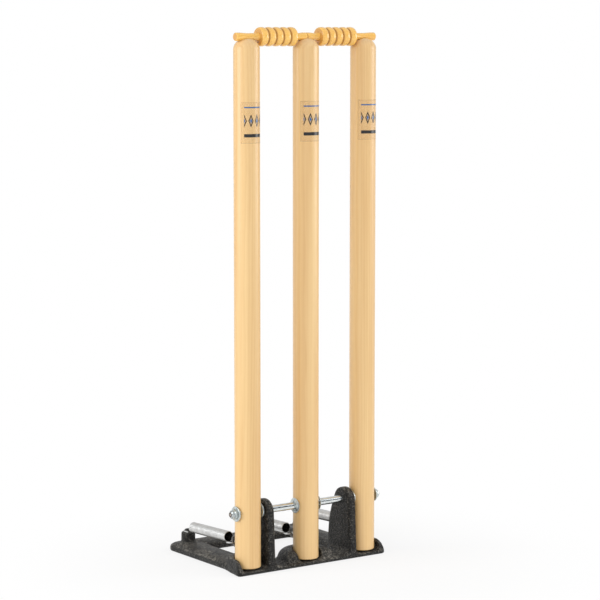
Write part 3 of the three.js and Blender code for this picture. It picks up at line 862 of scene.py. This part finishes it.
def cup_slot(x, low):
    """Room for a stump foot: round behind it and open to the front, from low to its right side."""
    spare = 10 * MM
    top, front = CUP_TOP + spare, BASE_LOW.y - spare
    well = add(
        bpy.ops.mesh.primitive_cylinder_add, "tool", vertices=64, radius=SLOT_RADIUS,
        depth=top - PLATE_TOP, location=(x, SLOT_Y, (top + PLATE_TOP) / 2),
    )
    way_out = block((low, front, PLATE_TOP), (x + SLOT_RADIUS, SLOT_Y, top))
    return combine(well, way_out, "UNION")


def ear():
    """Right upright that carries the rod: an outline drawn and filled, pushed across and rounded."""
    head_radius, head_offset, edge_round = 18.2 * MM, 2.8 * MM, 2.4 * MM
    head = arc((head_offset, ROD_Z - head_offset), (head_radius, head_radius), 20, 180, 14)
    rear = [(39.5, 0), (35.5, 13), (34.2, 35.5), (32.8, 47.5), (30.5, 56.5), (27.9, 65.4)]
    front_knee = (-17.5 * MM, 35.5 * MM)
    outline = [(BASE_LOW.y, 0), *[(y * MM, z * MM) for y, z in rear], *head, front_knee]
    piece = drawn("ear", [(EAR_INNER, y, z) for y, z in outline])
    edit(piece)
    pick("verts", lambda v: True)
    bpy.ops.mesh.edge_face_add()
    push(x=EAR_OUTER - EAR_INNER)
    done()
    outward(piece)
    edit(piece)
    pick("edges", lambda e: e.calc_face_angle(0) > math.radians(50) and centre(e).z > NEAR)
    bpy.ops.mesh.bevel(offset=edge_round, segments=3, affect="EDGES")
    done()
    return outward(piece)


def ear_web():
    """Web between the right ear's inner face and the plate, hollowed to a quarter round."""
    radius, overlap = 12 * MM, 2 * MM
    foot = EAR_INNER - radius
    low = (foot, BASE_LOW.y + overlap, 0)
    high = (EAR_INNER + overlap, PLATE_REAR - overlap, PLATE_TOP + radius)
    hollow = add(
        bpy.ops.mesh.primitive_cylinder_add, "tool", vertices=48, radius=radius, depth=BASE_HIGH.y,
        location=(foot, 0, PLATE_TOP + radius), rotation=(math.pi / 2, 0, 0),
    )
    return cut(block(low, high, "web"), hollow)


def post():
    """Flared boss on the bars with a peg for the spring's rear loop."""
    radius, foot_radius = 9.8 * MM, 12.5 * MM
    top = POST_TOP + MELT_LOSS
    rim, peg_rim = 1.5 * MM, MM
    flare_height, sunk = 4.5 * MM, 2 * MM
    flare_top = BAR_TOP + 4 * MM
    peg = PEG_RADIUS + MELT_LOSS
    peg_top = top + 4 * MM
    profile = [
        (foot_radius, BAR_SIDE), (foot_radius, BAR_TOP - sunk),
        *arc((foot_radius, flare_top), (foot_radius - radius, flare_height), 270, 180, 6),
        *arc((radius - rim, top - rim), (rim, rim), 0, 90, 3), (peg, top),
        *arc((peg - peg_rim, peg_top - peg_rim), (peg_rim, peg_rim), 0, 90, 3),
    ]
    return move(turned("post", profile, sides=40), y=POST_Y)


def melt(piece, voxel, fillet):
    """Fillets the corners of joined solids by swelling and shrinking, then softens all edges."""
    modify(piece, "REMESH", mode="VOXEL", voxel_size=voxel)
    modify(piece, "DISPLACE", strength=fillet, mid_level=0)
    modify(piece, "REMESH", mode="VOXEL", voxel_size=voxel)
    modify(piece, "DISPLACE", strength=-fillet, mid_level=0)
    modify(piece, "REMESH", mode="VOXEL", voxel_size=voxel)
    modify(piece, "SMOOTH", factor=0.5, iterations=6)


def make_base():
    """One casting: every solid joined, cut for the stump feet, and melted into one skin."""
    middle_half, middle_shoulder = 39 * MM, 14 * MM
    outer_rear, outer_shoulder = 34 * MM, 4 * MM
    to_side = SLOT_RADIUS + 4 * MM
    to_ear = STUMP_X["right"] - EAR_OUTER
    right_half = [
        bar(SIDE_BAR_HALF, (SIDE_BAR_X, 0), (0, REAR_BAR_Y)),
        bar_corner(),
        ear(),
        ear_web(),
        cup(STUMP_X["right"], to_ear, to_side, outer_rear, outer_shoulder, flared=True),
    ]
    piece = join(
        bar(REAR_BAR_HALF, (-SIDE_BAR_X, REAR_BAR_Y), (2 * SIDE_BAR_X, 0)),
        base_plate(),
        cup(STUMP_X["middle"], middle_half, middle_half, middle_half, middle_shoulder),
        *right_half,
        *[mirrored(part) for part in right_half],
    )
    modify(piece, "REMESH", mode="VOXEL", voxel_size=0.9 * MM)
    outer_slot = cup_slot(STUMP_X["right"], EAR_OUTER)
    cut(piece, cup_slot(STUMP_X["middle"], -SLOT_RADIUS), outer_slot, mirrored(outer_slot))
    middle_post = post()
    outer_posts = [move(copy_of(middle_post, "post"), x=STUMP_X[side]) for side in OUTER]
    join(piece, middle_post, *outer_posts)
    piece.name = "cast_iron_base"
    piece.data.name = "cast_iron_base"
    melt(piece, voxel=1.1 * MM, fillet=3.4 * MM)
    cut(piece, drill_x(ROD_RADIUS + BORE_GAP, 2 * EAR_OUTER, ROD_Z))
    smooth(piece, 50)
    finish_piece(piece, base_enamel(), "base", "base_casting")


# Rod, nuts and washers

THREAD_DEPTH = 0.7 * MM
THREAD_PITCH = 1.25 * MM


def threaded_end(low, high):
    """A stretch of thread along Z: one groove of its profile, wound by a screw and trimmed."""
    core, crest = ROD_END_RADIUS - THREAD_DEPTH, ROD_END_RADIUS
    turns = math.ceil((high - low) / THREAD_PITCH) + 2
    start = low - THREAD_PITCH
    profile = [(core, 0), (crest, 0.42), (crest, 0.58), (core, 1)]
    piece = drawn("thread", [(radius, 0, start + share * THREAD_PITCH) for radius, share in profile])
    modify(
        piece, "SCREW", axis="Z", angle=2 * math.pi, screw_offset=THREAD_PITCH, iterations=turns,
        steps=40, render_steps=40, use_merge_vertices=True, merge_threshold=0.001 * MM,
    )
    merge = 0.002 * MM
    edit(piece)
    bpy.ops.mesh.select_all(action="SELECT")
    bpy.ops.mesh.remove_doubles(threshold=merge)
    pick("edges", lambda e: e.is_boundary)
    bpy.ops.mesh.edge_face_add()
    done()
    return outward(piece, merge)


def make_rod(plating):
    """Steel rod, turned down beyond the outer stumps and threaded for the nuts."""
    end = ROD_HIGH.x
    shoulder = STUMP_X["right"] + STUMP_RADIUS
    bevel, tip, runout, spare = 0.3 * MM, 0.9 * MM, 0.8 * MM, MM
    core, clear = ROD_END_RADIUS - THREAD_DEPTH, ROD_END_RADIUS + 0.5 * MM
    half = [
        (ROD_RADIUS, 0), (ROD_RADIUS, shoulder - bevel), (ROD_RADIUS - bevel, shoulder),
        (ROD_END_RADIUS, shoulder), (ROD_END_RADIUS, end - tip), (core, end),
    ]
    shank = turned("hinge_rod", [(radius, -place) for radius, place in reversed(half)] + half[1:])
    for way in OUTER.values():
        low, high = sorted((way * (shoulder + runout), way * (end + spare)))
        ring = turned("tool", [(core, low), (clear, low), (clear, high), (core, high)], ring=True)
        cut(shank, cut(ring, threaded_end(low, high)))
    lie_along_x(shank, ROD_Z)
    smooth(shank, 35)
    finish_piece(shank, rod_steel(plating), "base", "axle_rod")


def make_nuts(zinc):
    """Locking nuts: a hex with its rims turned off, a round collar outside and a countersunk bore."""
    low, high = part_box("axle_nut_right")
    half = (high.x - low.x) / 2
    corner = (high.z - low.z) / 2
    pattern = add(bpy.ops.mesh.primitive_cylinder_add, "nut", vertices=6, radius=corner, depth=2 * half)
    turn(pattern, z=math.pi / 6)
    rim, spread, collar = 0.9 * MM, 0.6 * MM, 5.6 * MM
    hex_to = -half + 3.6 * MM
    keep = turned("tool", [
        (corner - rim, -half), (corner + spread, -half + rim), (corner + spread, hex_to - rim),
        (corner - rim, hex_to), (collar, hex_to), (collar, half - rim), (collar - rim, half),
    ])
    combine(pattern, keep, "INTERSECT")
    bore_radius, sink, spare = ROD_END_RADIUS + BORE_GAP, 0.6 * MM, 0.1 * MM
    bore = turned("tool", [
        (bore_radius + sink, -half - spare), (bore_radius, -half + sink),
        (bore_radius, half - sink), (bore_radius + sink, half + spare),
    ])
    cut(pattern, bore)
    smooth(soften(pattern, 0.25 * MM, 28), 35)
    for side, piece in one_each(pattern, "hex_nut", OUTER):
        node = "axle_nut_" + side
        lie_along_x(piece, ROD_Z, middle_of(node).x, OUTER[side])
        finish_piece(piece, zinc, "base", node)


def make_washers(name, node_name, zinc, on_radius, edge):
    """Two flat washers with rounded rims, on a stretch of the rod of this radius."""
    low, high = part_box(node_name + "_right")
    radius = (high.z - low.z) / 2
    half = (high.x - low.x) / 2
    bore = on_radius + BORE_GAP
    pattern = turned("washer", [
        (bore, -half), *arc((radius - edge, -half + edge), (edge, edge), -90, 0, 3),
        *arc((radius - edge, half - edge), (edge, edge), 0, 90, 3), (bore, half),
    ], ring=True)
    smooth(pattern, 35)
    for side, piece in one_each(pattern, name, OUTER):
        node = node_name + "_" + side
        lie_along_x(piece, ROD_Z, middle_of(node).x)
        finish_piece(piece, zinc, "base", node)


def make_retainers(zinc):
    """Push-on washers: a flat rim, a raised crown and teeth that grip the rod."""
    low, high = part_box("retaining_washer_right")
    radius = (high.z - low.z) / 2
    sheet, rise, hub = 0.9 * MM, 2.3 * MM, 0.3 * MM
    bore = ROD_RADIUS + 0.05 * MM
    pattern = turned("retainer", [
        (bore, rise - sheet), (radius * 0.66, rise - 1.3 * sheet), (radius * 0.76, 0), (radius, 0),
        (radius, sheet), (radius * 0.82, sheet), (radius * 0.7, rise), (bore, rise + hub),
    ], ring=True)
    teeth, slit = 6, 0.6 * MM
    for tooth in range(teeth):
        tool = block((ROD_RADIUS * 0.9, -slit, -MM), (radius * 0.68, slit, 2 * rise))
        cut(pattern, turn(tool, z=2 * math.pi * tooth / teeth))
    smooth(soften(pattern, 0.15 * MM, 40), 40)
    for side, piece in one_each(pattern, "push_on_washer", OUTER):
        way = OUTER[side]
        lie_along_x(piece, ROD_Z, way * low.x, way)
        finish_piece(piece, zinc, "base", "retaining_washer_" + side)


# Screw eyes and springs

SPRING_WIRE_RADIUS = 0.95 * MM
SPRING_TURNS = 46
COIL_RADIUS = 6.5 * MM
REAR_LOOP_STRETCH = 6 * MM
HOOK_GAP = 0.2 * MM
HOOK_SEAT = (EYE_RING_RADIUS - EYE_WIRE_RADIUS - SPRING_WIRE_RADIUS - HOOK_GAP) / math.sqrt(2)
HOOK_Y = EYE_Y + HOOK_SEAT
HOOK_Z = EYE_Z - HOOK_SEAT
PEG_Y = POST_Y + PEG_RADIUS + HOOK_GAP + SPRING_WIRE_RADIUS
PEG_Z = POST_TOP + HOOK_GAP + SPRING_WIRE_RADIUS
SPRING_TILT = math.atan2(HOOK_Z - PEG_Z, PEG_Y - HOOK_Y)
COIL_LENGTH = math.hypot(HOOK_Z - PEG_Z, PEG_Y - HOOK_Y) - 4 * COIL_RADIUS - REAR_LOOP_STRETCH


def make_eyes(steel):
    """Wire bent to a ring whose end comes back to its neck, with its shank in the wood."""
    neck = EYE_Y - EYE_RING_RADIUS
    bend = [(-4, 0), (-2.4, 0), (-0.9, -0.5), (0.35, -1.9)]
    points = [(EYE_LOW.y, EYE_Z), *[(neck + y * MM, EYE_Z + z * MM) for y, z in bend]]
    points += arc((EYE_Y, EYE_Z), (EYE_RING_RADIUS, EYE_RING_RADIUS), 214, 516, 40)
    pattern = wire("eye", [(0, y, z) for y, z in points], EYE_WIRE_RADIUS, 5)
    for side, piece in one_each(pattern, "eye_screw"):
        move(piece, x=STUMP_X[side])
        finish_piece(piece, steel, side + "_stump", "screw_eye_" + side)


def spring_points():
    """Path of the spring's wire with the coil's axis along Y from its front end at the origin."""
    steps, loop_steps = 24, 20
    coil_steps = SPRING_TURNS * steps
    loop = 2 * math.pi * 0.79
    radius = COIL_RADIUS
    points = []
    for step in range(loop_steps):
        angle = -loop * (1 - step / loop_steps)
        points.append((radius * math.sin(angle), radius * (math.cos(angle) - 1), -radius))
    for step in range(coil_steps + 1):
        angle = 2 * math.pi * step / steps
        points.append((radius * math.sin(angle), COIL_LENGTH * step / coil_steps, -radius * math.cos(angle)))
    for step in range(1, loop_steps + 1):
        angle = loop * step / loop_steps
        drawn_out = REAR_LOOP_STRETCH if math.cos(angle) < 0 else 0
        y = COIL_LENGTH + radius * (1 - math.cos(angle)) + drawn_out
        points.append((radius * math.sin(angle), y, -radius))
    return points


def make_springs(steel):
    """Close-wound, with a flat loop at each end; they stretch between the pegs and the eyes."""
    pattern = wire("spring", spring_points(), SPRING_WIRE_RADIUS, 2)
    sheet = pattern.data.uv_layers.new(name="distance from the axis")
    sheet.active_render = True
    for loop in pattern.data.loops:
        place = pattern.data.vertices[loop.vertex_index].co
        sheet.data[loop.index].uv = (math.hypot(place.x, place.z) / COIL_RADIUS, place.y / COIL_LENGTH)
    move(pattern, y=2 * COIL_RADIUS, z=COIL_RADIUS)
    turn(pattern, x=-SPRING_TILT)
    for side, piece in one_each(pattern, "pull_spring"):
        move(piece, x=STUMP_X[side], y=HOOK_Y, z=HOOK_Z)
        piece.data.materials.append(steel)
        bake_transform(piece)
        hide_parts("spring_" + side)


# Labels


def lay_print(piece, half_angle, low, high):
    """UV map of the film: across by angle from edge to edge, up by height."""
    sheet = piece.data.uv_layers.active
    for loop in piece.data.loops:
        place = piece.data.vertices[loop.vertex_index].co
        angle = math.atan2(place.x, -place.y)
        sheet.data[loop.index].uv = ((angle / half_angle + 1) / 2, (place.z - low) / (high - low))


def make_labels(film):
    """Thin film stuck round the front of each stump."""
    low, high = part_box("label_middle")
    half_angle = math.asin((high.x - low.x) / 2 / -low.y)
    glue, thickness = 0.06 * MM, 0.1 * MM
    pattern = add(
        bpy.ops.mesh.primitive_cylinder_add, "label", vertices=240, radius=STUMP_RADIUS + glue,
        depth=high.z - low.z, end_fill_type="NOTHING", location=(0, 0, (low.z + high.z) / 2),
    )
    edit(pattern)
    pick("faces", lambda f: abs(math.atan2(centre(f).x, -centre(f).y)) > half_angle)
    bpy.ops.mesh.delete(type="FACE")
    done()
    modify(pattern, "SOLIDIFY", thickness=thickness, offset=1)
    lay_print(pattern, half_angle, low.z, high.z)
    smooth(pattern, 40)
    for side, piece in one_each(pattern, "film_label"):
        move(piece, x=STUMP_X[side])
        finish_piece(piece, film, side + "_stump", "label_" + side)


# Studio


def make_floor():
    """Pale floor that keeps the shadow near the object and is plain white further out."""
    floor = add(bpy.ops.mesh.primitive_plane_add, "studio_floor", size=60)
    made, nodes, shader, where = new_material("studio floor")
    shader.inputs["Base Color"].default_value = (0.93, 0.93, 0.93, 1)
    shader.inputs["Roughness"].default_value = 0.9
    shader.inputs["Specular IOR Level"].default_value = 0.1
    glow = nodes.new("Emission")
    glow.inputs["Color"].default_value = (1, 1, 1, 1)
    path = nodes.new("LightPath").outputs
    mirrored_or_through = nodes.math("MAXIMUM", path["Is Glossy Ray"], path["Is Transmission Ray"])
    seen = nodes.math("MAXIMUM", path["Is Camera Ray"], mirrored_or_through)
    away = nodes.ramp(nodes.length(where["Object"]), 0.14, 0.45, 0.75, 1.0)
    blend = nodes.new("MixShader")
    nodes.put(blend.inputs[0], nodes.math("MULTIPLY", seen, away))
    nodes.put(blend.inputs[1], shader.outputs[0])
    nodes.put(blend.inputs[2], glow.outputs[0])
    nodes.put(made.node_tree.nodes["Material Output"].inputs["Surface"], blend.outputs[0])
    floor.data.materials.append(made)


def make_world():
    """White all round for the camera; its light is stronger from the front, with a dim patch that
    the rod mirrors."""
    world = bpy.data.worlds.new("studio")
    world.use_nodes = True
    nodes = Nodes(world.node_tree)
    sky = world.node_tree.nodes["Background"]
    direction = nodes.new("TexCoord").outputs["Generated"]
    front = Vector((-math.sin(CAMERA_YAW), -math.cos(CAMERA_YAW), 0.3)).normalized()
    rod_mirrors = Vector((math.sin(CAMERA_YAW), -math.cos(CAMERA_YAW), 0.24)).normalized()
    dim = nodes.ramp(nodes.dot(direction, rod_mirrors), 0.92, 0.965)
    path = nodes.new("LightPath").outputs
    reflection = nodes.mix(dim, (0.76, 0.77, 0.78, 1), (0.03, 0.045, 0.07, 1))
    facing = nodes.ramp(nodes.dot(direction, front), 0.0, 0.9)
    light = nodes.mix(facing, (0.42, 0.42, 0.42, 1), (1.32, 1.32, 1.32, 1))
    unseen = nodes.mix(path["Is Glossy Ray"], light, reflection)
    nodes.put(sky.inputs["Color"], nodes.mix(path["Is Camera Ray"], unseen, (1, 1, 1, 1)))
    sky.inputs["Strength"].default_value = 1.0
    bpy.context.scene.world = world


def soft_lamp(name, place, size, power):
    """Round area lamp that looks at the lower half of the stumps."""
    data = bpy.data.lights.new(name, "AREA")
    data.shape = "DISK"
    data.size = size
    data.energy = power
    lamp = bpy.data.objects.new(name, data)
    lamp.location = place
    aim = Vector((0, 0, 0.3)) - Vector(place)
    lamp.rotation_euler = aim.to_track_quat("-Z", "Y").to_euler()
    bpy.context.scene.collection.objects.link(lamp)


def make_camera():
    data = bpy.data.cameras.new("camera")
    data.sensor_width = SENSOR_MM
    data.lens = FOCAL_PIXELS / PICTURE_PIXELS * SENSOR_MM
    data.clip_end = 100
    camera = bpy.data.objects.new("camera", data)
    camera.location = CAMERA_PLACE
    camera.rotation_euler = (math.pi / 2 - CAMERA_PITCH, 0, -CAMERA_YAW)
    bpy.context.scene.collection.objects.link(camera)
    bpy.context.scene.camera = camera


# Everything in its place

make_camera()
make_world()
make_floor()
soft_lamp("left light", (-1.9, 0.4, 0.9), 1.2, 15)
soft_lamp("right light", (1.9, -1.1, 0.9), 1.4, 16)

wood_grain = wood_grain_group()
plating = plating_group()
zinc = plated(
    "zinc plate", plating, (0.66, 0.70, 0.69, 1), (0.42, 0.47, 0.48, 1), 0.24, (260, 260, 260),
)
eye_steel = plated(
    "dark steel", plating, (0.24, 0.235, 0.23, 1), (0.15, 0.145, 0.14, 1), 0.28, (200, 200, 200),
)

make_base()
make_rod(plating)
make_stumps(wood_grain)
make_eyes(eye_steel)
make_springs(spring_wire(plating))
make_labels(label_film())
make_bails(wood_grain)
make_nuts(zinc)
make_washers("flat_washer", "outer_washer", zinc, ROD_END_RADIUS, 0.5 * MM)
make_washers("thick_washer", "ear_washer", zinc, ROD_RADIUS, 0.7 * MM)
make_retainers(zinc)

bpy.context.scene.view_settings.view_transform = "Standard"
deselect()
bpy.context.view_layer.update()
